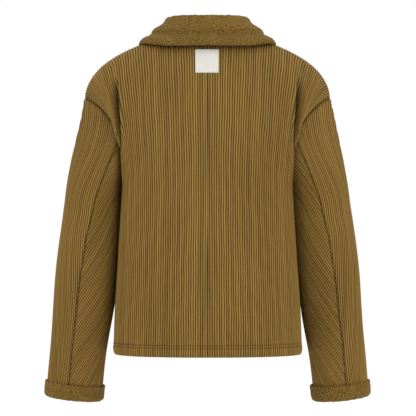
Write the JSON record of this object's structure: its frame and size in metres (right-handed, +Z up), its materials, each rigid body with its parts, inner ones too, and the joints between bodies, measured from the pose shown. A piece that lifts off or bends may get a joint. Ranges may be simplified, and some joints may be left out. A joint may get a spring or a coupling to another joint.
{
  "type": "corduroy jacket",
  "caption": "Cropped wide-wale corduroy jacket with dropped shoulders, plush turn-down collar and turned-up plush cuffs, filled out as worn.",
  "frame": {"origin": "middle of the neck opening, level with the seam at the nape, where the wearer's neck and shoulders hold the jacket", "axes": "+Z up towards the collar, -Y the way the wearer faces, +X towards the wearer's left sleeve"},
  "size_m": [0.5906, 0.249, 0.7032],
  "materials": {
    "corduroy": "ribbed cotton pile",
    "plush": "short curly plush",
    "patch": "woven",
    "button": "satin"
  },
  "bodies": {
    "root": {"back_left": "corduroy", "back_right": "corduroy", "front_left": "corduroy", "front_right": "corduroy", "sleeve_upper_left": "corduroy", "sleeve_upper_right": "corduroy", "sleeve_under_left": "corduroy", "sleeve_under_right": "corduroy", "collar": "plush", "cuff_left": "plush", "cuff_right": "plush", "patch": "patch", "button_1": "button", "button_2": "button", "button_3": "button", "button_4": "button", "button_5": "button"}
  },
  "joints": []
}
